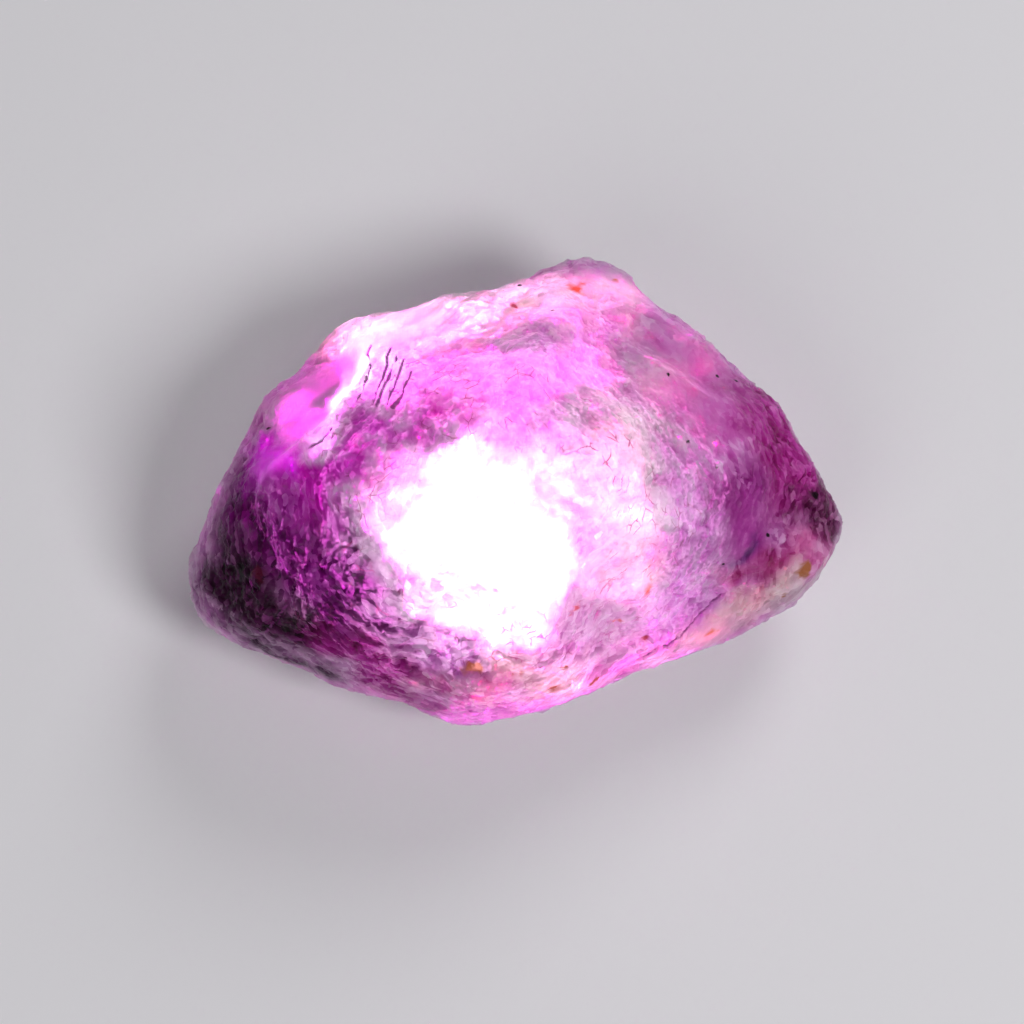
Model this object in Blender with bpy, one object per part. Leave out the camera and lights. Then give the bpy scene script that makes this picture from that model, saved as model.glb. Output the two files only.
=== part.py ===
"""A lump of raw purple fluorite, about 52 x 37 x 25 mm, lying on a flat cleavage face.

One solid. A ball is pulled out to the stone's widest line, worn down to its cleavage planes, and
hollowed where flakes broke away. Then it gets its ledge, ribs, lumps and chips, and its flat base.
The frame has +Z up, +X along the stone's length, and the origin under the middle of its box.
The form is worked in millimetres, and brought to metres at the end.
"""

import bisect
import math

import bmesh
import bpy
import numpy as np
from mathutils import Vector, noise

MM = 0.001

# ---------------------------------------------------------------- driving dimensions, in millimetres

STONE = "fluorite_stone"
LENGTH, WIDTH, HEIGHT = 52.1, 36.9, 25.0
TRIANGLES = 8800

# The widest line of the stone, clockwise seen from above, from its blunt left end: x, y and height.
GIRDLE = [
    (-26.0, -7.3, 8.0),
    (-25.05, -3.9, 8.5),
    (-22.0, 1.9, 10.0),
    (-19.3, 6.9, 11.0),
    (-17.6, 8.2, 11.2),
    (-14.8, 12.3, 11.5),
    (-12.4, 13.7, 11.5),
    (-9.2, 13.8, 11.5),
    (-4.6, 14.85, 11.8),
    (1.0, 16.6, 12.0),
    (4.3, 18.2, 12.2),
    (7.5, 18.3, 12.2),
    (9.6, 16.9, 12.0),
    (11.7, 14.7, 11.8),
    (13.5, 13.8, 11.8),
    (15.0, 12.1, 11.5),
    (16.4, 11.2, 11.3),
    (20.0, 7.6, 10.6),
    (23.1, 3.1, 9.8),
    (25.5, -1.2, 8.9),
    (26.2, -2.9, 8.5),
    (25.9, -4.6, 8.1),
    (23.2, -8.3, 7.3),
    (18.7, -11.1, 6.8),
    (15.5, -12.8, 6.6),
    (9.9, -14.2, 6.8),
    (5.2, -16.8, 7.2),
    (-0.4, -18.5, 7.5),
    (-4.7, -18.7, 7.5),
    (-8.2, -17.35, 7.5),
    (-14.6, -15.3, 7.4),
    (-20.2, -12.95, 7.4),
    (-23.8, -10.95, 7.6),
]

# The ball that the stone is worn from: its top and bottom, and how full its sides are.
SUMMIT = (0.0, -0.5, 25.4)
KEEL = (0.5, -0.5, -5.0)
FLANK_FULLNESS = 0.84
CROWN_RISE = 1.16
KEEL_RISE = 1.35
BALL_SUBDIVISIONS = 6

# Worn cleavage planes: the way each faces, its depth under the ball, and the width of its worn edge.
CLEAVAGE = {
    "left shoulder": ((-0.46, 0.60, 0.66), 2.0, 1.4),
    "back slope": ((-0.10, 0.68, 0.73), 1.9, 1.8),
    "back right": ((0.30, 0.60, 0.74), 1.5, 2.2),
    "right shoulder": ((0.50, 0.26, 0.83), 1.7, 2.4),
    "right facet": ((0.60, -0.26, 0.76), 2.0, 1.2),
    "ledge": ((0.46, -0.72, 0.52), 1.3, 0.8),
    "front slope": ((-0.02, -0.66, 0.75), 0.9, 3.0),
    "left front": ((-0.46, -0.46, 0.76), 1.3, 2.4),
    "left end": ((-0.82, -0.05, 0.57), 1.2, 2.0),
    "crown": ((-0.05, -0.10, 0.99), 0.5, 2.5),
    "under front": ((0.05, -0.66, -0.75), 1.2, 1.4),
    "under back": ((-0.10, 0.60, -0.79), 1.1, 1.6),
    "under left": ((-0.62, -0.05, -0.78), 1.4, 1.6),
    "under right": ((0.60, 0.12, -0.79), 1.4, 1.4),
}
WAVE_HEIGHT = 0.45
WAVE_LENGTH = 8.0
WAVE_SHIFT = 5.0

# Shell-shaped scars where flakes broke away: a point by the middle of the scar, the way it faces, the way
# its long side runs, and its half length, half width and depth under the skin.
SCARS = {
    "spoon": ((-14.6, 4.4, 16.8), (-0.52, 0.52, 0.68), (0.60, 0.80, -0.10), (8.6, 4.2, 2.3)),
    "left chip": ((-21.0, -8.8, 12.0), (-0.66, -0.45, 0.60), (0.45, -0.60, 0.1), (5.4, 3.6, 0.8)),
    "back hollow": ((-6.0, 14.2, 10.2), (-0.15, 0.93, 0.33), (1.0, 0.16, 0.1), (6.0, 3.2, 0.8)),
    "knob notch": ((12.4, 13.0, 13.4), (0.58, 0.68, 0.45), (0.2, -0.4, 0.9), (3.4, 1.5, 0.6)),
    "right notch": ((16.6, 9.4, 12.6), (0.68, 0.58, 0.45), (0.2, -0.4, 0.9), (3.0, 1.3, 0.4)),
    "back scar": ((6.0, 15.5, 6.5), (0.10, 0.85, -0.52), (1.0, -0.1, 0.1), (6.0, 3.6, 0.9)),
    "under scar": ((14.0, 2.0, 2.2), (0.55, 0.20, -0.81), (0.3, -0.9, 0.0), (6.0, 4.2, 0.9)),
    "under chip": ((-16.0, -6.0, 2.2), (-0.50, -0.35, -0.79), (0.6, -0.7, 0.0), (6.0, 3.6, 0.9)),
}
SCAR_ROUNDNESS = 3.0
SCAR_EDGE = 0.25

# Ribs ripple the skin beside the spoon scar: the middle of the first, and the way they step and run.
RIBS_AT = Vector((-12.6, 5.8, 0.0))
RIB_STEP = Vector((0.98, -0.18, 0.0))
RIB_RUN = Vector((0.18, 0.98, 0.0))
RIB_SPACING = 1.15
RIB_COUNT = 4
RIB_HALF_LENGTH = 4.2
RIB_HEIGHT = 0.22
RIB_CURVE = 0.02
RIB_FADE = 0.5

# A step drops to the ledge at the lower right: two points on its brink, seen from above, and the drop.
STEP_FROM = Vector((9.6, -13.6, 0.0))
STEP_TO = Vector((17.0, -7.6, 0.0))
STEP_DROP = 0.6
STEP_WIDTH = 0.7
STEP_FADE = 2.5
STEP_SWAY = 0.4

# Relief of the skin: the size of the lumps, knobs and chips, and how far each stands out.
LUMP_SIZE = 8.0
LUMP_HEIGHT = 0.80
KNOB_SIZE = 3.2
KNOB_HEIGHT = 0.55
KNOB_SHIFT = Vector((7.0, 3.0, 1.0))
CHIP_SIZE = 2.2
CHIP_HEIGHT = 1.00
CHIP_TURN = 7.3

# The steep sides were worn smoother, and only the skin that faces up by this much has ribs and a step.
SIDE_RELIEF = 0.25
UPPER_SIDE = 0.35

# Chips lie in rings round the blow that opened the stone's upper face.
BLOW = Vector((-2.5, -5.0, 0.0))
CHIPS_ROUND = 14.0

# The tilts of the chips are drawn from this seed, so the stone is the same each time it is built.
CHIP_SEED = 1795464114

# The last wear, which rounds the edges of the chips.
WEAR_FACTOR = 0.5
WEAR_PASSES = 2


def remove_all_objects():
    for old in list(bpy.data.objects):
        bpy.data.objects.remove(old, do_unlink=True)


def smooth_loop(points, steps):
    """Points of a closed Catmull-Rom curve through the given ones, steps for each stretch."""
    count = len(points)
    loop = []
    for i in range(count):
        before, start, end, after = (Vector(points[(i + k) % count]) for k in (-1, 0, 1, 2))
        for step in range(steps):
            t = step / steps
            loop.append(
                0.5
                * (
                    2 * start
                    + (end - before) * t
                    + (2 * before - 5 * start + 4 * end - after) * t * t
                    + (3 * start - before - 3 * end + after) * t**3
                )
            )
    return loop


class Girdle:
    """The stone's widest line, read by the angle round the vertical axis."""

    def __init__(self):
        loop = smooth_loop(GIRDLE, 8)
        self.points = sorted(loop, key=lambda point: math.atan2(point.y, point.x))
        self.angles = [math.atan2(point.y, point.x) for point in self.points]

    def at(self, angle):
        """The point of the line that lies in this direction, seen from above."""
        count = len(self.angles)
        after = bisect.bisect_left(self.angles, angle)
        low, high = (after - 1) % count, after % count
        gap = (self.angles[high] - self.angles[low]) % math.tau
        share = ((angle - self.angles[low]) % math.tau) / max(gap, 1e-9)
        return self.points[low].lerp(self.points[high], share)


def smoothstep(low, high, value):
    t = min(max((value - low) / (high - low), 0.0), 1.0)
    return t * t * (3 - 2 * t)


def pull_to_girdle(points):
    """Turns the points of a unit ball into the stone's full, unworn form."""
    girdle = Girdle()
    for point in points:
        rim = girdle.at(math.atan2(point.y, point.x))
        pole, power = (SUMMIT, CROWN_RISE) if point.z > 0 else (KEEL, KEEL_RISE)
        spread = math.hypot(point.x, point.y) ** FLANK_FULLNESS
        rise = abs(point.z) ** power
        point.x = rim.x * spread + pole[0] * (1 - spread)
        point.y = rim.y * spread + pole[1] * (1 - spread)
        point.z = rim.z + (pole[2] - rim.z) * rise


def soft_excess(over, edge):
    """How far to push back a point that is this far over a limit, with the limit's edge rounded."""
    if abs(over) < edge:
        return (over + edge) ** 2 / (4 * edge)
    return max(over, 0.0)


def wear_to_plane(points, facing, depth, edge):
    """Wears the points down to a gently waving plane, and rounds its edge."""
    normal = Vector(facing).normalized()
    level = max(normal.dot(point) for point in points) - depth
    for point in points:
        wave = WAVE_HEIGHT * noise.noise(point / WAVE_LENGTH + normal * WAVE_SHIFT)
        point -= normal * soft_excess(normal.dot(point) - level - wave, edge)


def hollow_scar(points, place, facing, along, size):
    """Pushes the skin down to the far side of an ellipsoid, which leaves a shell-shaped scar."""
    half_length, half_width, depth = size
    height = depth * SCAR_ROUNDNESS
    share = math.sqrt(1 - ((height - depth) / height) ** 2)
    outward = Vector(facing).normalized()
    side = outward.cross(Vector(along)).normalized()
    forward = side.cross(outward)
    middle = min(points, key=lambda point: (point - Vector(place)).length)
    centre = middle + outward * (height - depth)
    for point in points:
        offset = point - centre
        u = offset.dot(forward) * share / half_length
        v = offset.dot(side) * share / half_width
        flat = u * u + v * v
        if flat < 1 and offset.length < 2 * half_length:
            over = offset.dot(outward) + height * math.sqrt(1 - flat)
            point -= outward * soft_excess(over, SCAR_EDGE)


def rib_place(point):
    """Which rib a point is on, counted from the first, and how strongly the ribs show there."""
    from_first = point - RIBS_AT
    run = from_first.dot(RIB_RUN)
    count = from_first.dot(RIB_STEP) / RIB_SPACING + RIB_CURVE * run * run
    shown = smoothstep(-RIB_FADE, 0.0, count)
    shown *= 1 - smoothstep(RIB_COUNT, RIB_COUNT + RIB_FADE, count)
    shown *= 1 - smoothstep(RIB_HALF_LENGTH / 2, RIB_HALF_LENGTH, abs(run))
    return count, shown


def on_ribs(vertex):
    """Whether the ribs show at this point of the skin."""
    return vertex.normal.z > UPPER_SIDE and rib_place(vertex.co)[1] > 0


def step_height(point):
    """How far the skin has dropped past the brink of the ledge."""
    along = STEP_TO - STEP_FROM
    length = along.length
    along /= length
    across = Vector((along.y, -along.x, 0.0))
    run = (point - STEP_FROM).dot(along)
    past = (point - STEP_FROM).dot(across) + STEP_SWAY * math.sin(run)
    inside = smoothstep(-STEP_FADE, 0, run) * (1 - smoothstep(length, length + STEP_FADE, run))
    return -STEP_DROP * inside * smoothstep(-STEP_WIDTH, STEP_WIDTH, past)


def chip_height(point):
    """Height of a skin broken into small tilted chips, laid in rings round the blow."""
    from_blow = point - BLOW
    radius = math.hypot(from_blow.x, from_blow.y)
    around = math.atan2(from_blow.y, from_blow.x) / math.tau * CHIPS_ROUND
    place = Vector((radius / CHIP_SIZE, around, point.z / CHIP_SIZE))
    middle = noise.voronoi(place)[1][0]
    tilt = noise.noise_vector(middle * CHIP_TURN)
    return CHIP_HEIGHT * (place - middle).dot(tilt)


def relief(point, normal):
    """How far the skin stands out of the worn body at this point."""
    height = LUMP_HEIGHT * noise.fractal(point / LUMP_SIZE, 1.0, 2.0, 2)
    height += KNOB_HEIGHT * noise.fractal(point / KNOB_SIZE + KNOB_SHIFT, 1.0, 2.0, 2)
    height += chip_height(point)
    height *= SIDE_RELIEF + (1 - SIDE_RELIEF) * abs(normal.z)
    upper = smoothstep(0.0, UPPER_SIDE, normal.z)
    count, shown = rib_place(point)
    height += upper * shown * (RIB_HEIGHT * math.sin(count * math.tau) - height)
    return height + upper * step_height(point)


def carve_skin(mesh):
    """Moves each point of the mesh along its normal by the relief."""
    normals = [vertex.normal.copy() for vertex in mesh.vertices]
    for vertex, normal in zip(mesh.vertices, normals):
        vertex.co += normal * relief(vertex.co, normal)


def worn_body():
    """The stone in millimetres, worn and scarred, with all its relief and with finer faces on the ribs."""
    shape = bmesh.new()
    bmesh.ops.create_icosphere(shape, subdivisions=BALL_SUBDIVISIONS, radius=1.0)
    points = [vertex.co for vertex in shape.verts]
    pull_to_girdle(points)
    for facing, depth, edge in CLEAVAGE.values():
        wear_to_plane(points, facing, depth, edge)
    for scar in SCARS.values():
        hollow_scar(points, *scar)
    shape.normal_update()
    ribbed = [edge for edge in shape.edges if all(on_ribs(vertex) for vertex in edge.verts)]
    bmesh.ops.subdivide_edges(shape, edges=ribbed, cuts=1)
    bmesh.ops.triangulate(shape, faces=shape.faces[:])
    mesh = bpy.data.meshes.new(STONE)
    shape.to_mesh(mesh)
    shape.free()
    carve_skin(mesh)
    return mesh


def simplified(mesh, triangles):
    """The mesh with its last wear and about this many triangles, most of them where the shape needs them."""
    blank = bpy.data.objects.new("blank", mesh)
    bpy.context.scene.collection.objects.link(blank)
    ribs = blank.vertex_groups.new(name="Ribs")
    for vertex in mesh.vertices:
        if on_ribs(vertex):
            ribs.add([vertex.index], rib_place(vertex.co)[1], "REPLACE")
    wear = blank.modifiers.new("Wear", "SMOOTH")
    wear.factor = WEAR_FACTOR
    wear.iterations = WEAR_PASSES
    wear.vertex_group = ribs.name
    wear.invert_vertex_group = True
    reduce = blank.modifiers.new("Fewer faces", "DECIMATE")
    reduce.ratio = triangles / len(mesh.polygons)
    reduce.vertex_group = ribs.name
    reduce.invert_vertex_group = True
    reduce.vertex_group_factor = 1.0
    graph = bpy.context.evaluated_depsgraph_get()
    simple = bpy.data.meshes.new_from_object(blank.evaluated_get(graph))
    bpy.data.objects.remove(blank)
    return simple


def cut_base(shape):
    """Cuts the stone off flat at height zero, where it rests."""
    cut = bmesh.ops.bisect_plane(
        shape,
        geom=shape.verts[:] + shape.edges[:] + shape.faces[:],
        plane_co=(0, 0, 0),
        plane_no=(0, 0, -1),
        clear_outer=True,
    )
    rim = [piece for piece in cut["geom_cut"] if isinstance(piece, bmesh.types.BMEdge)]
    bmesh.ops.edgeloop_fill(shape, edges=rim)
    bmesh.ops.triangulate(shape, faces=shape.faces[:])


def fit_to_size(shape):
    """Puts the origin under the middle of the stone's box, and brings the box to its real size."""
    places = np.array([vertex.co for vertex in shape.verts])
    low, high = places.min(axis=0), places.max(axis=0)
    shift = Vector(((low[0] + high[0]) / -2, (low[1] + high[1]) / -2, -low[2]))
    scale = np.array((LENGTH, WIDTH, HEIGHT)) / (high - low) * MM
    bmesh.ops.translate(shape, vec=shift, verts=shape.verts[:])
    bmesh.ops.scale(shape, vec=Vector(scale), verts=shape.verts[:])


def fluorite():
    """Purple fluorite with a water-worn skin: clear inside, dull and a little greasy outside."""
    material = bpy.data.materials.new("Water-worn purple fluorite")
    material.use_nodes = True
    surface = material.node_tree.nodes["Principled BSDF"]
    surface.inputs["Base Color"].default_value = (0.58, 0.17, 0.50, 1.0)
    surface.inputs["Metallic"].default_value = 0.0
    surface.inputs["Roughness"].default_value = 0.35
    surface.inputs["IOR"].default_value = 1.434
    surface.inputs["Transmission Weight"].default_value = 0.5
    return material


def main():
    remove_all_objects()
    noise.seed_set(CHIP_SEED)
    parts = bpy.data.collections.new("Raw fluorite")
    bpy.context.scene.collection.children.link(parts)
    mesh = simplified(worn_body(), TRIANGLES)
    shape = bmesh.new()
    shape.from_mesh(mesh)
    cut_base(shape)
    fit_to_size(shape)
    shape.to_mesh(mesh)
    shape.free()
    mesh.name = STONE
    mesh.shade_smooth()
    mesh.materials.append(fluorite())
    parts.objects.link(bpy.data.objects.new(STONE, mesh))


main()
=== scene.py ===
# %% [markdown]
# # A lump of raw fluorite, lit from above and through its base
#
# This lesson dresses one stone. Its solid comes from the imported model, which fixes its size and
# place. Here it gets what makes a mineral look real: a skin broken into small chips, colour that
# drifts through the body, and a material that lets light in. The sizes are in millimetres, and MM
# turns them into Blender's metres.

# %% Load the frame
import math

import bmesh
import bpy
import numpy as np
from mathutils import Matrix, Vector, noise
from mathutils.bvhtree import BVHTree


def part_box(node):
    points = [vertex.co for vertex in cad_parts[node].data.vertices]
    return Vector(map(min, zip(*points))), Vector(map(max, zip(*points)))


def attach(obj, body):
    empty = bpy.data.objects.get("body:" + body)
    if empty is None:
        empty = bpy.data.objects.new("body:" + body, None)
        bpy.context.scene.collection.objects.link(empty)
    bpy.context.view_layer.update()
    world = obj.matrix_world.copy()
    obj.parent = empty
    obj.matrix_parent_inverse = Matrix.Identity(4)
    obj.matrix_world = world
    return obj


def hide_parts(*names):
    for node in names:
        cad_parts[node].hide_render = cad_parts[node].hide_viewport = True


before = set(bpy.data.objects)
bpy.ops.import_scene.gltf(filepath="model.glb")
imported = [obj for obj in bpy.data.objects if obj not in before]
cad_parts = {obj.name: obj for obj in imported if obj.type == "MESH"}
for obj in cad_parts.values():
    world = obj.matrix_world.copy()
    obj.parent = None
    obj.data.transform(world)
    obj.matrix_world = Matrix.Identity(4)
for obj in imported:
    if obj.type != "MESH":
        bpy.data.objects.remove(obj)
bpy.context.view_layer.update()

MM = 0.001
STONE_NODE = "fluorite_stone"
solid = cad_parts[STONE_NODE]
lowest, highest = (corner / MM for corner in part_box(STONE_NODE))
print("stone in mm:", [round(side, 1) for side in highest - lowest])

# %% [markdown]
# ## The camera
#
# The stone lies on a table and is seen from almost straight above, 75 degrees up. A long lens of
# about 130 mm, 300 mm away, keeps the outline close to a plan of the stone. The frame is square,
# and 82 mm wide at the stone.

# %% Place the camera
ELEVATION = math.radians(75)
DISTANCE = 300.0
FRAME_WIDTH = 81.92
SENSOR = 36.0
MIDDLE = Vector((0, 0, 9.0))
AIM_RIGHT = -0.24
AIM_UP = -1.6
NEAREST = 10.0

to_camera = Vector((0, -math.cos(ELEVATION), math.sin(ELEVATION)))
view_up = Vector((0, math.sin(ELEVATION), math.cos(ELEVATION)))
aim = MIDDLE + Vector((AIM_RIGHT, 0, 0)) + view_up * AIM_UP
camera_data = bpy.data.cameras.new("camera")
camera_data.sensor_width = SENSOR
camera_data.lens = SENSOR * DISTANCE / FRAME_WIDTH
camera_data.clip_start = NEAREST * MM
camera = bpy.data.objects.new("camera", camera_data)
camera.location = (aim + to_camera * DISTANCE) * MM
camera.rotation_mode = "QUATERNION"
camera.rotation_quaternion = to_camera.to_track_quat("Z", "Y")
bpy.context.scene.collection.objects.link(camera)
bpy.context.scene.camera = camera
print("lens:", round(camera_data.lens, 1), "mm")

# %% [markdown]
# ## A finer skin
#
# The solid has about eight thousand flat faces, too few for chips half a millimetre wide. Welding a
# copy of it and subdividing it twice splits each face into twelve small quads and rounds the skin.
# A voxel remesh would give as many faces, but it leaves stairs that catch the light.

# %% Weld a copy of the solid
WELD = 0.001

stone = bpy.data.objects.new("raw_fluorite", solid.data.copy())
stone.data.materials.clear()
bpy.context.scene.collection.objects.link(stone)
coarse = bmesh.new()
coarse.from_mesh(stone.data)
bmesh.ops.remove_doubles(coarse, verts=coarse.verts, dist=WELD * MM)
coarse.to_mesh(stone.data)
print("points after the weld:", len(coarse.verts))
coarse.free()

# %% [markdown]
# Catmull-Clark subdivision runs as a modifier, and its result is then kept as a plain mesh, because
# the next steps move every point of it.

# %% Subdivide it
SUBDIVISIONS = 2

subdivision = stone.modifiers.new("finer skin", "SUBSURF")
subdivision.levels = SUBDIVISIONS
subdivision.render_levels = SUBDIVISIONS
skin = bpy.data.meshes.new_from_object(stone.evaluated_get(bpy.context.evaluated_depsgraph_get()))
stone.modifiers.clear()
stone.data = skin
skin.name = "raw_fluorite"
skin.calc_loop_triangles()
print("skin triangles:", len(skin.loop_triangles))

# %% [markdown]
# ## Places on the stone
#
# Scars, colours and stains are placed as the camera sees them: so many millimetres right and up of
# the middle of its view. A ray finds the point of the skin there, so each one sits on the stone, and
# stays there from any side.

# %% Find a point of the skin
ABOVE = 60.0
SCAR_AT = (-16.0, 6.5)

corners = [vertex.co / MM for vertex in skin.vertices]
skin_tree = BVHTree.FromPolygons(corners, [face.vertices for face in skin.polygons])


def on_skin(right, up):
    """The point of the skin this far right and up of the middle of the view, all in millimetres."""
    start = MIDDLE + Vector((right, 0, 0)) + view_up * up + to_camera * ABOVE
    return skin_tree.ray_cast(start, -to_camera)[0]


print("the spoon-shaped scar lies at", [round(c, 1) for c in on_skin(*SCAR_AT)])

# %% [markdown]
# ## Where the break is smooth
#
# Most of the skin is hackly, but a flake that comes off clean leaves a smooth face: the
# spoon-shaped scar, the slope behind it, the facet and the ledge at the right. Each smooth place is
# a ball round a point of the skin: where it is, its radius, and how broken its middle still is.

# %% Smooth places
SMOOTH_PLACES = (
    ((-15.6, 6.6), 5.0, 0.05),
    ((-18.5, 2.6), 3.6, 0.10),
    ((-12.6, 10.0), 3.6, 0.10),
    ((-8.5, 13.2), 4.5, 0.50),
    ((18.0, -3.0), 4.5, 0.40),
    ((14.0, 8.5), 7.0, 0.40),
    ((15.5, -11.0), 3.5, 0.35),
    ((7.5, 17.0), 3.5, 0.40),
)
SMOOTH_CORE = 0.35


def smoothstep(start, end, value):
    """0 at start and 1 at end, with a soft start and stop."""
    t = min(max((value - start) / (end - start), 0.0), 1.0)
    return t * t * (3 - 2 * t)


smooth_balls = [(on_skin(*place), radius, least) for place, radius, least in SMOOTH_PLACES]


def breakage(point):
    """How strongly the skin is broken here, from near 0 in a clean flake scar to 1."""
    broken = 1.0
    for middle, radius, least in smooth_balls:
        outside = smoothstep(radius * SMOOTH_CORE, radius, (point - middle).length)
        broken = min(broken, least + (1 - least) * outside)
    return broken


print("smooth places:", len(smooth_balls))

# %% [markdown]
# ## Chips, lumps and pits
#
# Fluorite breaks in small flat steps, and a river rounds their edges. Noise alone looks like clay,
# so the chips are cells of a Voronoi pattern, each a small plane with its own tilt: where two meet
# there is a step. The large ones lie in wobbling rings round the blow that opened the upper face,
# lapped like scales. The small ones don't, and have a size and a height of their own. Blender seeds
# this noise from the clock, so a seed of our own comes first, and the stone is the same each run.

# %% Chips
BLOW = Vector((-2.5, -5.0, 0.0))
CONE_SLOPE = 1.3
RING_WOBBLE = 2.6
RING_WOBBLE_SIZE = 6.0
SCALE_LAP = Vector((0, 0, 0.25))
SCALE_SIZE = 1.7
SCALE_HEIGHT = 0.22
CHIPS = ((1.5, 0.42), (0.85, 0.30))
TILT_TURN = 7.3
NOISE_SEED = 1795471681

noise.seed_set(NOISE_SEED)


def tilted_cell(place, lap=Vector()):
    """How high a tilted Voronoi cell stands here, in units of the cell, and the shade of the cell."""
    middle = noise.voronoi(place)[1][0]
    tilt = noise.noise_vector(middle * TILT_TURN)
    return (place - middle).dot(tilt + lap), tilt.x


def ring_place(point):
    """The point on a cone round the blow, so that anything drawn there is squeezed across the rings."""
    wobbled = point + noise.noise_vector(point / RING_WOBBLE_SIZE) * RING_WOBBLE
    away = math.hypot(wobbled.x - BLOW.x, wobbled.y - BLOW.y)
    return Vector((wobbled.x, wobbled.y, CONE_SLOPE * away - point.z))


print("chips in mm:", [SCALE_SIZE] + [size for size, step in CHIPS])

# %% [markdown]
# Chips alone would look machine-cut. Lumps a few millimetres wide, fine grit and small round pits
# break them up, and all of them are added into one height, so the skin is moved only once. In both
# noises each layer is twice as fine as the last, and half as strong.

# %% All relief together
LUMP_SIZE = 4.5
LUMP_HEIGHT = 0.28
LUMP_LAYERS = 3
GRIT_SIZE = 0.6
GRIT_HEIGHT = 0.06
GRIT_LAYERS = 2
WEAKER_AND_FINER = (1.0, 2.0)
PIT_SPACING = 2.3
PIT_RADIUS = 0.28
PIT_DEPTH = 0.30


def relief(point):
    """How far the skin is raised here, in millimetres, and how light the chip is, about -1 to 1."""
    scale, shade = tilted_cell(ring_place(point) / SCALE_SIZE, SCALE_LAP)
    height = SCALE_HEIGHT * scale
    for size, step in CHIPS:
        chip, chip_shade = tilted_cell(point / size)
        height += step * chip
        shade += chip_shade
    height += LUMP_HEIGHT * noise.fractal(point / LUMP_SIZE, *WEAKER_AND_FINER, LUMP_LAYERS)
    height += GRIT_HEIGHT * noise.fractal(point / GRIT_SIZE, *WEAKER_AND_FINER, GRIT_LAYERS)
    pit_rim = noise.voronoi(point / PIT_SPACING)[0][0]
    return height - PIT_DEPTH * (1 - smoothstep(0.0, PIT_RADIUS, pit_rim)), shade


print("relief at the blow in mm:", round(relief(BLOW)[0], 2))

# %% [markdown]
# ## Ribs and cracks
#
# Beside the spoon-shaped scar five fine ribs run down the slope, like ripples stopped in the glass,
# each with a step. Two cracks part the pale ledge from the stone, one lies at the foot of the scar,
# and one runs down the left end. They are lines through points of the skin, cut as narrow grooves,
# and painted darker further on: painted shade along the steps of the ribs, and the cracks' own dark.

# %% Lines cut in the skin
RIBS = (
    ((-11.4, 11.5), (-11.7, 10.8), (-11.3, 9.8), (-11.5, 8.8), (-12.1, 7.4), (-12.6, 6.5)),
    ((-9.8, 11.4), (-10.0, 10.6), (-9.9, 9.8), (-10.2, 8.8), (-10.7, 7.8), (-11.0, 6.8)),
    ((-9.2, 10.6), (-9.4, 9.8), (-9.8, 8.8), (-10.2, 7.8), (-10.6, 6.6)),
    ((-8.6, 10.2), (-8.9, 9.2), (-9.3, 8.0), (-9.9, 6.8)),
    ((-8.0, 9.2), (-8.4, 8.2), (-8.9, 7.2), (-9.4, 6.5)),
)
RIB_WIDTH = 0.30
RIB_DEPTH = 0.16
CRACKS = (
    ((16.2, -8.1), (14.8, -9.4), (13.1, -11.4)),
    ((9.9, -13.2), (11.6, -12.4), (13.1, -11.4)),
    ((-15.9, 3.4), (-15.0, 3.9), (-14.2, 4.9)),
    ((-16.6, -5.6), (-17.4, -8.4), (-19.4, -11.0), (-21.6, -12.2)),
)
CRACK_WIDTH = 0.30
CRACK_DEPTH = 0.20
print("ribs:", len(RIBS), "cracks:", len(CRACKS))

# %% [markdown]
# A path is a list of places in the view. It is walked in short strides, and each stop is dropped on
# the skin, so the line bends with the stone. How far a point lies from it then shapes a groove, a
# stain or a cloud of colour.

# %% Helpers for paths
STRIDE = 0.8
TINY = 1e-9


def walk(path):
    """Points of the skin along a path of places in the view, about STRIDE apart."""
    steps = [path[0]]
    for (right, up), (next_right, next_up) in zip(path, path[1:]):
        count = math.ceil(math.hypot(next_right - right, next_up - up) / STRIDE)
        for step in range(1, count + 1):
            share = step / count
            steps.append((right + (next_right - right) * share, up + (next_up - up) * share))
    return [np.array(on_skin(*place)) for place in steps]


def distance(points, path):
    """How far each point is, in millimetres, from a path over the skin."""
    stops = walk(path)
    away = np.full(len(points), np.inf)
    for start, end in zip(stops, stops[1:] or stops):
        line = end - start
        share = np.clip((points - start) @ line / max(line @ line, TINY), 0, 1)
        away = np.minimum(away, np.linalg.norm(points - start - share[:, None] * line, axis=1))
    return away


def near(points, path, radius, core):
    """A mask along a path over the skin: 1 within core of the radius, and 0 outside it."""
    inside = np.clip((radius - distance(points, path)) / (radius * (1 - core)), 0, 1)
    return inside * inside * (3 - 2 * inside)


print("stops on the first rib:", len(walk(RIBS[0])))

# %% [markdown]
# Each groove is full in its core and soft at its sides. The distance to the nearest line is kept for
# the shader, which draws the dark line finer than the mesh.

# %% Measure the lines
GROOVE_CORE = 0.1

uncarved = [vertex.co / MM for vertex in skin.vertices]
places = np.array(uncarved)
rib_lines = np.max([near(places, path, RIB_WIDTH, GROOVE_CORE) for path in RIBS], axis=0)
crack_lines = np.max([near(places, path, CRACK_WIDTH, GROOVE_CORE) for path in CRACKS], axis=0)
to_groove = np.min([distance(places, path) for path in (*RIBS, *CRACKS)], axis=0)
print("points on ribs and cracks:", int((rib_lines > 0).sum()), int((crack_lines > 0).sum()))

# %% [markdown]
# Every point moves along its own normal. The relief fades near the base, so that the stone still
# rests flat, and it is lower on the steep sides, which a river wears most. Nothing may pass the box
# of the solid.

# %% Carve the skin
FOOT = 0.8
EDGE_SLOPE = 0.45
EDGE_RELIEF = 0.45

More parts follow.
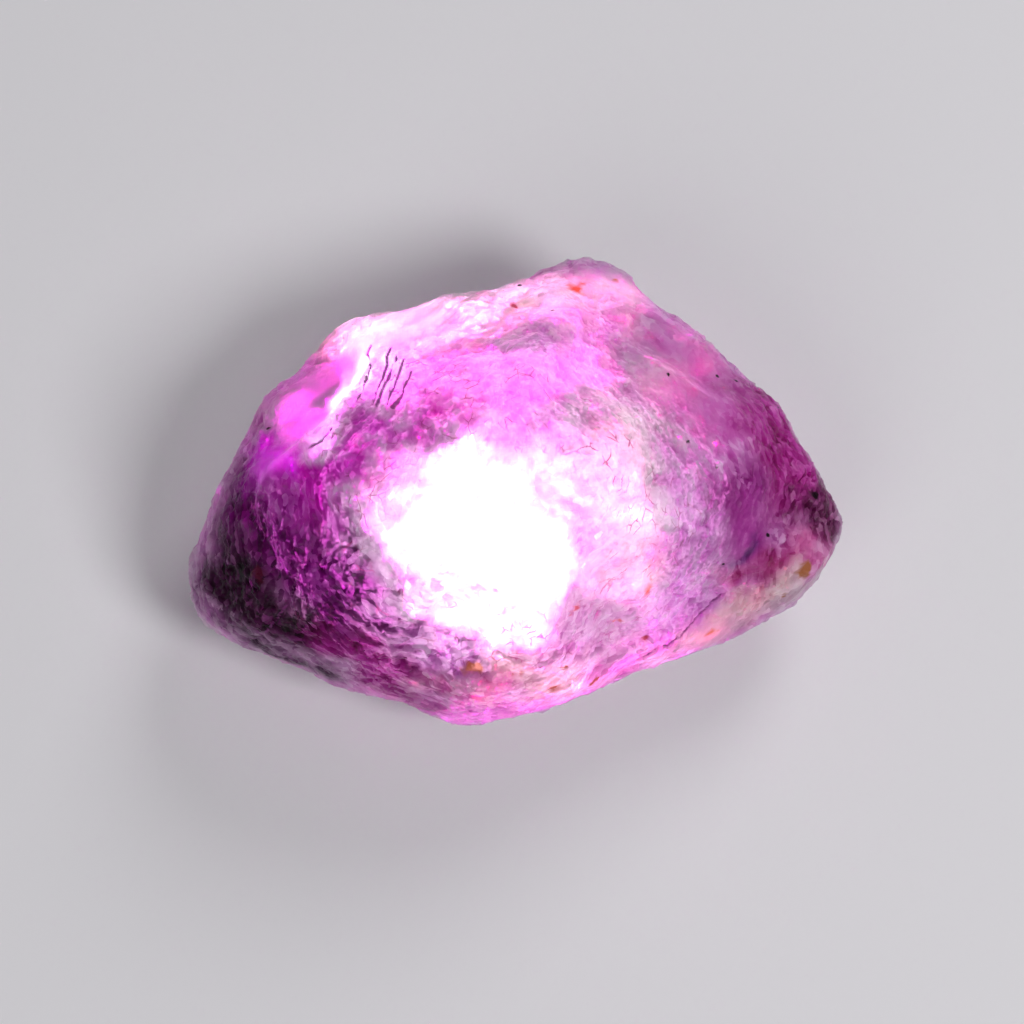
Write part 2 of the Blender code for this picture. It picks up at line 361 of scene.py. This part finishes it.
normals = np.array([vertex.normal for vertex in skin.vertices])
edge = np.clip(1 - np.abs(normals[:, 2]) / EDGE_SLOPE, 0, 1)
broken = np.array([breakage(point) for point in uncarved])
heights, shades = np.array([relief(point) for point in uncarved]).T
heights *= broken * (1 - (1 - EDGE_RELIEF) * edge)
heights -= RIB_DEPTH * rib_lines + CRACK_DEPTH * crack_lines
heights *= [smoothstep(0.0, FOOT, point.z) for point in uncarved]
carved = np.clip(places + normals * heights[:, None], lowest, highest)
skin.vertices.foreach_set("co", (carved * MM).ravel())
skin.shade_smooth()
skin.update()
print("relief in mm:", round(heights.min(), 2), "to", round(heights.max(), 2))

# %% [markdown]
# ## Colour in clouds
#
# Purple is where the crystal took up traces of other metals as it grew, so the colour lies in soft
# clouds with ragged edges. Each zone is a cloud round a point of the skin, or along a line of
# points. A shader could draw them, but light bounces dozens of times inside this stone, and each
# bounce would work them all out again. So they are painted once, on the points of the mesh, and the
# shader adds what is finer than the mesh.

# %% Helpers for colours
def linear(colour):
    """The linear colour, with alpha, of an sRGB hex value such as "#c080b0"."""
    parts = [int(colour[i : i + 2], 16) / 255 for i in (1, 3, 5)]
    return (*(p / 12.92 if p <= 0.04045 else ((p + 0.055) / 1.055) ** 2.4 for p in parts), 1.0)


def wandering(size, reach, layers):
    """The points of the skin, each moved about by noise of this size, by up to about this reach."""
    swing = [noise.turbulence_vector(point / size, layers, False) for point in uncarved]
    return places + np.array(swing) * reach


def paint(colours, mask, tint):
    """The colours with this tint laid over them as far as the mask says."""
    return colours + (np.array(linear(tint)) - colours) * mask[:, None]


print("middle grey in linear light:", round(linear("#808080")[0], 3))

# %% [markdown]
# The stone is lilac, and duller towards its foot, a painted shade that tames the glow of the lamps
# below. The zones come from the ends inwards, then the pale middle, and last the small ones: the
# edge, the facet, the scar and the knob. A later zone covers an earlier one. Each has a name, a path,
# a radius, a colour and a strength.

# %% Paint the colour zones
BODY_COLOUR = "#d894d4"
FOOT_SHADE_COLOUR = "#ae86a6"
FOOT_SHADE_TOP = 11.0
ZONE_CORE = 0.2
DRIFT_SIZE = 4.0
DRIFT_REACH = 2.2
DRIFT_LAYERS = 4
FRONT_EDGE = [(6.6, -15.2), (11.4, -13.0), (16.2, -11.9), (21.0, -8.9), (24.2, -6.4)]
COLOUR_ZONES = (
    ("right shoulder", [(14.5, 7.4)], 10.0, "#e179ce", 0.95),
    ("upper right", [(8.5, 9.5)], 7.0, "#e9c2e0", 0.8),
    ("right flank", [(20.0, 5.5), (22.0, 0.5)], 6.5, "#ae228e", 0.95),
    ("right end", [(24.5, -1.0)], 5.5, "#50103a", 0.95),
    ("foot of the right end", [(17.0, -6.5), (25.0, -5.0)], 3.4, "#c65496", 0.85),
    ("purple left", [(-20.5, -1.0), (-14.0, -8.5)], 7.5, "#780871", 1.0),
    # The dark left end is partly the stone's deep purple and partly painted shade, where it lies furthest
    # from the lamp below.
    ("dark left end with painted shade", [(-23.5, -6.5), (-20.0, -9.5), (-16.0, -11.5)], 5.8, "#380630", 1.0),
    ("plum front", [(-12.5, -12.5), (-9.0, -15.0)], 4.5, "#9a067e", 0.95),
    ("foot of the left end", [(-22.5, -10.5), (-18.5, -13.2), (-14.5, -14.6)], 2.8, "#2c0428", 0.95),
    ("back slope", [(-13.0, 13.0), (-4.0, 14.0), (3.0, 15.5)], 7.5, "#f1e3ea", 1.0),
    ("violet band", [(-7.0, 9.0), (5.0, 9.0)], 5.0, "#f5c8f0", 0.9),
    ("purple band", [(-16.5, 1.0), (-8.5, 5.0)], 5.8, "#de3bd0", 0.95),
    # The pale heart, its arch and its foot are partly the stone's paler middle and partly painted glow of
    # the lamp below.
    ("pale heart with painted glow", [(-6.0, -2.0), (0.5, -4.8)], 8.6, "#ffeefd", 1.0),
    ("arch over the heart with painted glow", [(-4.5, 1.4), (-1.5, 2.3), (3.0, 2.0), (6.5, 0.0)], 5.0, "#ffebfb", 0.9),
    ("foot of the heart with painted glow", [(-5.5, -8.5), (2.0, -10.5)], 4.4, "#ffe8fa", 1.0),
    ("pale right of the heart", [(8.5, 4.0), (9.0, -6.5)], 5.5, "#eee0e4", 0.85),
    ("rose foot", [(-1.0, -14.0), (4.0, -15.0)], 4.6, "#e4d3d7", 0.9),
    ("mauve foot", [(-6.0, -15.0), (-3.0, -16.0)], 3.0, "#e39dcd", 0.9),
    ("lilac foot", [(5.0, -9.5), (9.0, -13.5)], 4.4, "#d19cc7", 0.9),
    ("cream ledge", [(13.0, -11.8), (22.0, -7.5)], 3.0, "#dec6cc", 0.95),
    ("front edge", FRONT_EDGE, 2.0, "#c1a6b7", 0.9),
    ("right facet", [(17.5, -1.0), (18.5, -4.2)], 4.4, "#a42e93", 0.95),
    ("grey spot of the facet", [(16.8, -5.2), (18.2, -5.0)], 1.4, "#5c3478", 0.7),
    ("outer half of the scar", [(-19.3, 4.7), (-14.6, 9.2)], 4.0, "#dda9da", 0.95),
    ("slope with ribs", [(-11.5, 10.6), (-9.6, 8.2)], 4.4, "#ffe5fd", 1.0),
    ("floor of the scar", [(-16.4, 6.0), (-15.4, 4.4)], 2.8, "#eec4ec", 1.0),
    # The inner half of the scar is partly its own pale colour and partly painted light over its lower wall,
    # which the lamps leave in shade.
    ("inner half of the scar with painted light", [(-12.6, 9.4), (-13.4, 6.9), (-14.5, 4.9)], 2.7, "#fdecfd", 1.0),
    ("low end of the scar", [(-20.2, 2.8), (-18.0, 1.8)], 3.4, "#ee43ed", 1.0),
    ("rosy knob", [(4.0, 16.0), (9.0, 16.2)], 3.4, "#efe3e9", 0.9),
    ("below the knob", [(9.5, 14.0)], 3.2, "#efcbe5", 0.9),
)

drifting = wandering(DRIFT_SIZE, DRIFT_REACH, DRIFT_LAYERS)
tint = np.tile(np.array(linear(BODY_COLOUR)), (len(places), 1))
# Painted shade: the colour turns duller towards the foot, where the lamps below would make it glow.
tint = paint(tint, np.clip(1 - drifting[:, 2] / FOOT_SHADE_TOP, 0, 1), FOOT_SHADE_COLOUR)
for name, path, radius, zone_tint, strength in COLOUR_ZONES:
    tint = paint(tint, strength * near(drifting, path, radius, ZONE_CORE), zone_tint)
print("colour zones:", len(COLOUR_ZONES))

# %% [markdown]
# ## Chips and edges in the colour
#
# Each chip is a little lighter or darker than the next. Its top is painted paler and its foot deeper,
# a painted highlight and painted shade of the relief. The thin edge all round the stone is painted
# paler too, a painted rim of the light that a thin edge lets through. Raising a colour to a power
# deepens it as a thicker piece would, so purple turns plum and not grey.

# %% Shade the chips and the edge
CHIP_SHADE = 0.22
CHIP_TOP = 0.25
PAINTED_TOP_LIGHT_AND_FOOT_SHADE = 0.35
PAINTED_RIM_LIGHT = 0.45

# Painted light and shade: chip tops paler, chip feet deeper, and the thin edge all round paler.
lightness = CHIP_SHADE * shades + PAINTED_TOP_LIGHT_AND_FOOT_SHADE * np.clip(heights / CHIP_TOP, -1, 1)
lightness = broken * lightness + PAINTED_RIM_LIGHT * edge
tint[:, :3] = tint[:, :3] ** np.exp(-lightness)[:, None]
print("lightness from", round(lightness.min(), 2), "to", round(lightness.max(), 2))

# %% [markdown]
# ## Where it is crazed
#
# Hairline cracks crowd round the clear heart and thin out towards the ends, and there are none in
# it. The shader draws them, finer than the mesh, but the mesh tells it where, and which way the
# rings run.

# %% Measure the crazing and the rings
HEART = [(-4.0, -2.5), (1.5, -3.5)]
CRAZED_REACH = 19.0
CRAZED_FULL = 0.5
CLEAR_REACH = 8.5
CROOKED_SIZE = 1.0
CROOKED_LAYERS = 3

crazed = broken * near(places, HEART, CRAZED_REACH, CRAZED_FULL)
crazed *= 1 - near(places, HEART, CLEAR_REACH, CRAZED_FULL)
rings = np.array([ring_place(point) for point in uncarved])
crooked = np.array(
    [noise.turbulence_vector(point / CROOKED_SIZE, CROOKED_LAYERS, False) for point in uncarved]
)
print("crazed points:", int((crazed > 0.5).sum()))

# %% [markdown]
# ## Iron stains and specks
#
# Water left rust in the pits: small ragged stains, from orange to dark red. Grains of a black
# mineral, 0.3 to 0.8 mm across, sit mostly in the right shoulder. Each stain has a place, a radius
# and a colour, and each speck a place and a radius.

# %% Stain and speck the skin
RUST = (
    ((4.96, 16.1), 0.9, "#d8602c"),
    ((7.9, 16.9), 0.6, "#d87840"),
    ((-0.1, 14.9), 0.5, "#c84868"),
    ((10.3, -7.5), 0.8, "#d84830"),
    ((4.4, -9.3), 0.7, "#c83c50"),
    ((-3.2, -13.8), 0.8, "#d07048"),
    ((0.1, -14.3), 0.45, "#c06848"),
    ((3.9, -13.8), 0.5, "#b85848"),
    ((3.2, -15.4), 0.9, "#a05028"),
    ((6.0, -15.0), 0.45, "#b05838"),
    ((7.9, -9.9), 0.5, "#d06070"),
    ((10.2, -11.7), 0.6, "#b84048"),
    ((22.96, -6.3), 0.9, "#a86428"),
    ((21.3, -8.2), 0.6, "#a06038"),
    ((15.4, -11.2), 0.5, "#c88858"),
    ((14.3, -7.8), 0.4, "#782838"),
    ((-7.5, 6.2), 0.35, "#9c3050"),
    ((-20.0, -6.5), 0.8, "#58102c"),
    ((-17.3, -11.7), 0.6, "#681028"),
)
SPECKS = (
    ((11.9, 9.1), 0.23),
    ((15.9, 9.1), 0.22),
    ((17.4, 8.7), 0.27),
    ((13.2, 3.7), 0.23),
    ((15.5, 1.9), 0.25),
    ((23.7, -0.3), 0.39),
    ((19.8, -3.4), 0.25),
    ((16.1, -5.6), 0.23),
    ((20.6, 6.6), 0.22),
    ((2.9, 14.0), 0.23),
    ((0.4, 16.2), 0.23),
    ((-19.4, 5.0), 0.23),
)
STAIN_SPREAD = 2.2
RAGGED_SIZE = 0.9
RAGGED_REACH = 0.6
RAGGED_LAYERS = 3

ragged = wandering(RAGGED_SIZE, RAGGED_REACH, RAGGED_LAYERS)
rust = np.zeros((len(places), 4))
rust_share = np.zeros(len(places))
for middle, radius, stain_tint in RUST:
    stained = np.clip(1 - distance(ragged, [middle]) / (STAIN_SPREAD * radius), 0, 1)
    rust[stained > rust_share] = linear(stain_tint)
    rust_share = np.maximum(rust_share, stained)
rust[:, 3] = rust_share
to_speck = np.min([distance(places, [middle]) / radius for middle, radius in SPECKS], axis=0)
print("stained points:", int((rust_share > 0).sum()), "specks:", len(SPECKS))

# %% [markdown]
# ## Hand the fields to the shader
#
# A distance changes evenly from point to point, so a line that the shader draws where the distance
# is small has a crisp edge, even where it is thinner than the mesh is fine.

# %% Store the fields on the mesh
BENDING = 0.25

for name, kind, field, values in (
    ("tint", "FLOAT_COLOR", "color", tint),
    ("rust", "FLOAT_COLOR", "color", rust),
    ("broken", "FLOAT", "value", broken),
    ("crazed", "FLOAT", "value", crazed),
    ("to_groove", "FLOAT", "value", to_groove),
    ("to_speck", "FLOAT", "value", to_speck),
    ("rings", "FLOAT_VECTOR", "vector", rings + BENDING * crooked),
    ("crooked", "FLOAT_VECTOR", "vector", crooked),
):
    skin.attributes.new(name, kind, "POINT").data.foreach_set(field, values.ravel())
print("fields:", [layer.name for layer in skin.attributes])

# %% [markdown]
# ## Fluorite, broken and waterworn
#
# Fluorite is calcium fluoride, clear inside, with an index of refraction of 1.434, lower than any
# common gem. A broken, river-worn skin has a greasy gloss between glass and wax, so its roughness
# is about a third. Most light that enters is scattered by the fine cracks inside and comes out
# elsewhere, which is subsurface scattering, and a part goes straight through, which is
# transmission. The material reads the fields of the mesh first. Place is the point of the stone in
# millimetres.

# %% Start the stone's material
def add_node(tree, kind, settings, inputs):
    """Adds a node, makes its settings, and fills its inputs with values or with links from sockets."""
    made = tree.nodes.new(kind)
    for name, value in settings.items():
        setattr(made, name, value)
    for name, value in inputs.items():
        if isinstance(value, bpy.types.NodeSocket):
            tree.links.new(value, made.inputs[name])
        else:
            made.inputs[name].default_value = value
    return made


fluorite = bpy.data.materials.new("Fluorite, broken and waterworn")
fluorite.use_nodes = True
nodes = fluorite.node_tree
nodes.nodes.clear()
coordinates = add_node(nodes, "ShaderNodeTexCoord", {}, {})
place = add_node(
    nodes,
    "ShaderNodeVectorMath",
    {"operation": "SCALE"},
    {"Vector": coordinates.outputs["Object"], "Scale": 1 / MM},
).outputs[0]
fields = {
    name: add_node(nodes, "ShaderNodeAttribute", {"attribute_name": name}, {})
    for name in ("tint", "rust", "broken", "crazed", "to_groove", "to_speck", "rings", "crooked")
}
print("fields read:", list(fields))

# %% [markdown]
# ### Thin flakes
#
# Flakes two thirds of a millimetre across lie along the rings. A thicker flake has a deeper shade
# of the same purple, which is the colour raised to a higher power. One in twenty is painted pale, a
# painted glint. Where the skin is smooth the flakes fade out. A Mix node has sockets for each kind of
# data: 0 is the share, 2 and 3 mix numbers, 6 and 7 colours.

# %% Draw the flakes
FLAKES_PER_MM = 1.5
THIN_FLAKE = 0.80
THICK_FLAKE = 1.5
SHADE_RANGE = (0.15, 0.85)
GLINT_FLAKE = 0.6
GLINT_SHARE = 0.05
GLINT_SOFTNESS = 0.04

bent = fields["rings"].outputs["Vector"]
flakes = add_node(nodes, "ShaderNodeTexVoronoi", {}, {"Vector": bent, "Scale": FLAKES_PER_MM})
depth = add_node(
    nodes,
    "ShaderNodeMapRange",
    {},
    {
        "Value": flakes.outputs["Color"],
        "From Min": SHADE_RANGE[0],
        "From Max": SHADE_RANGE[1],
        "To Min": THIN_FLAKE,
        "To Max": THICK_FLAKE,
    },
)
# Painted glints: the flakes whose blue channel is highest, one in twenty, are drawn pale.
clean = add_node(nodes, "ShaderNodeSeparateColor", {}, {"Color": flakes.outputs["Color"]})
is_glint = add_node(
    nodes,
    "ShaderNodeMapRange",
    {},
    {
        "Value": clean.outputs["Blue"],
        "From Min": 1 - GLINT_SHARE,
        "From Max": 1 - GLINT_SHARE + GLINT_SOFTNESS,
    },
)
depth_or_glint = add_node(
    nodes,
    "ShaderNodeMix",
    {"data_type": "FLOAT"},
    {0: is_glint.outputs[0], 2: depth.outputs[0], 3: GLINT_FLAKE},
)
flaked = add_node(
    nodes,
    "ShaderNodeGamma",
    {},
    {"Color": fields["tint"].outputs["Color"], "Gamma": depth_or_glint.outputs[0]},
)
body = add_node(
    nodes,
    "ShaderNodeMix",
    {"data_type": "RGBA"},
    {
        0: fields["broken"].outputs["Fac"],
        6: fields["tint"].outputs["Color"],
        7: flaked.outputs["Color"],
    },
).outputs[2]
print("flakes in mm:", round(1 / FLAKES_PER_MM, 2))

# %% [markdown]
# ### Hairline cracks
#
# Hairline cracks run between cells over a millimetre wide, here and there, where the light from
# below picks them out. The real ones are hair-thin: these are a tenth of a millimetre wide, the
# least that shows.

# %% Draw the hairlines
HAIRLINES_PER_MM = 0.8
HAIRLINE_WIDTH = 0.07
HAIRLINE_COLOUR = "#a01c70"
PATCH_FULL = 0.3
HAIRLINE_STRENGTH = 0.9

flake_edges = add_node(
    nodes,
    "ShaderNodeTexVoronoi",
    {"feature": "DISTANCE_TO_EDGE"},
    {"Vector": bent, "Scale": HAIRLINES_PER_MM},
)
hairline = add_node(
    nodes,
    "ShaderNodeMapRange",
    {},
    {"Value": flake_edges.outputs["Distance"], "From Max": HAIRLINE_WIDTH, "To Min": 1.0, "To Max": 0.0},
)
patches = add_node(
    nodes,
    "ShaderNodeMapRange",
    {},
    {"Value": fields["crooked"].outputs["Fac"], "From Max": PATCH_FULL, "To Max": HAIRLINE_STRENGTH},
)
patchy = add_node(
    nodes, "ShaderNodeMath", {"operation": "MULTIPLY"}, {0: hairline.outputs[0], 1: patches.outputs[0]}
)
cracked = add_node(
    nodes,
    "ShaderNodeMath",
    {"operation": "MULTIPLY"},
    {0: patchy.outputs[0], 1: fields["crazed"].outputs["Fac"]},
).outputs[0]
print("half a hairline in mm:", round(HAIRLINE_WIDTH / HAIRLINES_PER_MM, 2))

# %% [markdown]
# ### Grooves, rust and specks
#
# The ribs get dark lines of painted shade along their steps, and the long cracks dark lines of their
# own. The rust has a ragged edge, because it fills the pits first, and the specks are sharp.

# %% Draw the grooves, the rust and the specks
RIB_SHADE_AND_CRACK_COLOUR = "#84347c"
GROOVE_LINE = 0.065
GROOVE_FADE = 0.16
RIB_SHADE_AND_CRACK_STRENGTH = 0.85
RUST_EDGE = 0.55
RUST_SOFTNESS = 0.25
RUST_RAGGED = 0.4
RUST_STRENGTH = 0.95
SPECK_COLOUR = "#160a12"
SPECK_CORE = 0.7

# Painted shade along the rib steps, and the cracks' own dark, drawn where a point is near a groove.
rib_shade_and_crack = add_node(
    nodes,
    "ShaderNodeMapRange",
    {},
    {
        "Value": fields["to_groove"].outputs["Fac"],
        "From Min": GROOVE_LINE,
        "From Max": GROOVE_FADE,
        "To Min": RIB_SHADE_AND_CRACK_STRENGTH,
        "To Max": 0.0,
    },
).outputs[0]
pitted = add_node(
    nodes,
    "ShaderNodeMath",
    {"operation": "MULTIPLY_ADD"},
    {0: fields["crooked"].outputs["Fac"], 1: RUST_RAGGED, 2: fields["rust"].outputs["Alpha"]},
)
rusted = add_node(
    nodes,
    "ShaderNodeMapRange",
    {},
    {
        "Value": pitted.outputs[0],
        "From Min": RUST_EDGE,
        "From Max": RUST_EDGE + RUST_SOFTNESS,
        "To Max": RUST_STRENGTH,
    },
).outputs[0]
specked = add_node(
    nodes,
    "ShaderNodeMapRange",
    {},
    {"Value": fields["to_speck"].outputs["Fac"], "From Min": SPECK_CORE, "To Min": 1.0, "To Max": 0.0},
).outputs[0]

colour = body
for share, layer in (
    (cracked, linear(HAIRLINE_COLOUR)),
    (rib_shade_and_crack, linear(RIB_SHADE_AND_CRACK_COLOUR)),
    (rusted, fields["rust"].outputs["Color"]),
    (specked, linear(SPECK_COLOUR)),
):
    laid = add_node(nodes, "ShaderNodeMix", {"data_type": "RGBA"}, {0: share, 6: colour, 7: layer})
    colour = laid.outputs[2]
print("colour nodes:", len(nodes.nodes))

# %% [markdown]
# ### Gloss, grain and light inside
#
# Thin flakes and grain are finer than the mesh can carry, so they only turn the normal: every flake
# has its own tilt, so some of them glint. A bump map would do the same, but it works out the
# pattern three times over.

# %% Tilt the flakes and add the grain
FLAKE_TILT = 0.65
GRAIN_SIZE = 0.25
GRAIN_TILT = 0.8
MIDDLE_GREY = (0.5, 0.5, 0.5)

normal = add_node(nodes, "ShaderNodeNewGeometry", {}, {}).outputs["Normal"]
flake_tilt = add_node(
    nodes, "ShaderNodeVectorMath", {"operation": "SUBTRACT"}, {0: flakes.outputs["Color"], 1: MIDDLE_GREY}
)
grain = add_node(nodes, "ShaderNodeTexNoise", {}, {"Vector": place, "Scale": 1 / GRAIN_SIZE, "Detail": 0.0})
grain_tilt = add_node(
    nodes, "ShaderNodeVectorMath", {"operation": "SUBTRACT"}, {0: grain.outputs["Color"], 1: MIDDLE_GREY}
)
both_tilts = add_node(
    nodes,
    "ShaderNodeVectorMath",
    {"operation": "MULTIPLY_ADD"},
    {0: grain_tilt.outputs[0], 1: (GRAIN_TILT / FLAKE_TILT,) * 3, 2: flake_tilt.outputs[0]},
)
how_far = add_node(
    nodes, "ShaderNodeMath", {"operation": "MULTIPLY"}, {0: fields["broken"].outputs["Fac"], 1: FLAKE_TILT}
)
tilt = add_node(
    nodes,
    "ShaderNodeVectorMath",
    {"operation": "SCALE"},
    {0: both_tilts.outputs[0], "Scale": how_far.outputs[0]},
)
tilted = add_node(nodes, "ShaderNodeVectorMath", {"operation": "ADD"}, {0: normal, 1: tilt.outputs[0]})
facet_normal = add_node(nodes, "ShaderNodeVectorMath", {"operation": "NORMALIZE"}, {0: tilted.outputs[0]})
print("a flake tilts by up to", round(math.degrees(math.atan(FLAKE_TILT / 2))), "degrees each way")

# %% [markdown]
# Light is scattered over 13 mm, a third of the stone's width, and green a little less far than red
# and blue. Fresh breaks shine more than the worn scar, so the roughness is lower there. The
# mirror-like share is kept low, because the stone is seen by the light that comes through it.

# %% The surface
SCATTER_REACH = 13.0
SCATTER_BY_COLOUR = (1.0, 0.92, 1.0)
SMOOTH_ROUGHNESS = 0.36
BROKEN_ROUGHNESS = 0.28
FLUORITE_IOR = 1.434
MIRROR_LEVEL = 0.08
STRAIGHT_THROUGH = 0.25
SCATTERED = 0.8

gloss = add_node(
    nodes,
    "ShaderNodeMapRange",
    {},
    {"Value": fields["broken"].outputs["Fac"], "To Min": SMOOTH_ROUGHNESS, "To Max": BROKEN_ROUGHNESS},
)
surface = add_node(
    nodes,
    "ShaderNodeBsdfPrincipled",
    {"subsurface_method": "RANDOM_WALK"},
    {
        "Base Color": colour,
        "Roughness": gloss.outputs[0],
        "IOR": FLUORITE_IOR,
        "Specular IOR Level": MIRROR_LEVEL,
        "Transmission Weight": STRAIGHT_THROUGH,
        "Subsurface Weight": SCATTERED,
        "Subsurface Radius": SCATTER_BY_COLOUR,
        "Subsurface Scale": SCATTER_REACH * MM,
        "Normal": facet_normal.outputs[0],
    },
)
add_node(nodes, "ShaderNodeOutputMaterial", {}, {"Surface": surface.outputs[0]})
skin.materials.append(fluorite)
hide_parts(STONE_NODE)
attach(stone, "root")
print("material nodes:", len(nodes.nodes))

# %% [markdown]
# ## A light table
#
# Stones like this are shown on a light table: a pale sheet with a window that the base covers, and
# a small lamp under it. The window stays inside the stone's flat base, so no light comes up beside
# the stone. A circle one unit across is stretched to the window, and its rim pulled far outwards.

# %% Pale sheet with a window
SHEET_SIZE = 1500.0
WINDOW = (26.0, 16.0)
WINDOW_AT = Vector((0.0, -0.5, 0.0))
WINDOW_SIDES = 64
HALF_A_UNIT = 0.5

bpy.ops.mesh.primitive_circle_add(vertices=WINDOW_SIDES, radius=HALF_A_UNIT, fill_type="NOTHING")
sheet = bpy.context.object
sheet.name = "pale_sheet"
rim = bmesh.new()
rim.from_mesh(sheet.data)
for corner in rim.verts:
    corner.co = (Vector((corner.co.x * WINDOW[0], corner.co.y * WINDOW[1], 0)) + WINDOW_AT) * MM
outward = bmesh.ops.extrude_edge_only(rim, edges=rim.edges[:])
for corner in outward["geom"]:
    if isinstance(corner, bmesh.types.BMVert):
        corner.co *= SHEET_SIZE / WINDOW[1]
bmesh.ops.recalc_face_normals(rim, faces=rim.faces)
rim.to_mesh(sheet.data)
rim.free()
print("window in mm:", WINDOW)

# %% [markdown]
# ## Paper, matt and pressed
#
# The sheet is uncoated paper. Its pressed fibres scatter light evenly, so it is a very light grey
# with no shine, and it is part of the stage, not of the stone.

# %% Paper for the sheet
PAPER_COLOUR = "#f0eef2"
PAPER_ROUGHNESS = 0.85

paper = bpy.data.materials.new("Paper, matt and pressed")
paper.use_nodes = True
paper_surface = paper.node_tree.nodes["Principled BSDF"]
paper_surface.inputs["Base Color"].default_value = linear(PAPER_COLOUR)
paper_surface.inputs["Roughness"].default_value = PAPER_ROUGHNESS
sheet.data.materials.append(paper)
print("paper roughness:", PAPER_ROUGHNESS)

# %% [markdown]
# ## Soft studio light
#
# Three large lamps give soft light from the front right, the left and behind. The two under the
# window are small and weak, but all their light goes into the stone. Each lamp has a name, an
# azimuth and an elevation in degrees, a distance and a size in millimetres and a power in watts. The
# last two shine up through the window from just below it.

# %% Lamps
LAMPS = (
    ("key", 55, 50, 700, (260, 260), 2.1),
    ("fill", -30, 42, 800, (500, 500), 1.0),
    ("back", 150, 40, 700, (300, 300), 1.3),
    ("small lamp under the stone", 0, -90, 1.0, (10, 10), 0.12, Vector((-3.0, -2.2, 0))),
    ("window glow", 0, -90, 1.6, (25, 15), 0.54, WINDOW_AT),
)


def area_light(name, azimuth, elevation, distance, size, power, target=Vector()):
    """A round or oval lamp that shines on the target from this direction; sizes in millimetres."""
    turn = math.radians(azimuth)
    tilt = math.radians(elevation)
    way = Vector((math.sin(turn) * math.cos(tilt), -math.cos(turn) * math.cos(tilt), math.sin(tilt)))
    lamp = bpy.data.lights.new(name, "AREA")
    lamp.shape = "ELLIPSE"
    lamp.size, lamp.size_y = size[0] * MM, size[1] * MM
    lamp.energy = power
    made = bpy.data.objects.new(name, lamp)
    made.location = (target + way * distance) * MM
    made.rotation_mode = "QUATERNION"
    made.rotation_quaternion = way.to_track_quat("Z", "Y")
    bpy.context.scene.collection.objects.link(made)


for lamp in LAMPS:
    area_light(*lamp)
print("lamps:", [lamp[0] for lamp in LAMPS])

# %% [markdown]
# An even, faint sky fills the shadows. The standard view keeps the colours as they are set, where a
# filmic one would grey the purple.

# %% Sky
SKY_COLOUR = "#f2f2f6"
SKY_STRENGTH = 0.115

world = bpy.data.worlds.new("studio")
world.use_nodes = True
sky = world.node_tree.nodes["Background"]
sky.inputs["Color"].default_value = linear(SKY_COLOUR)
sky.inputs["Strength"].default_value = SKY_STRENGTH
bpy.context.scene.world = world
bpy.context.scene.view_settings.view_transform = "Standard"
print("sky strength:", SKY_STRENGTH)
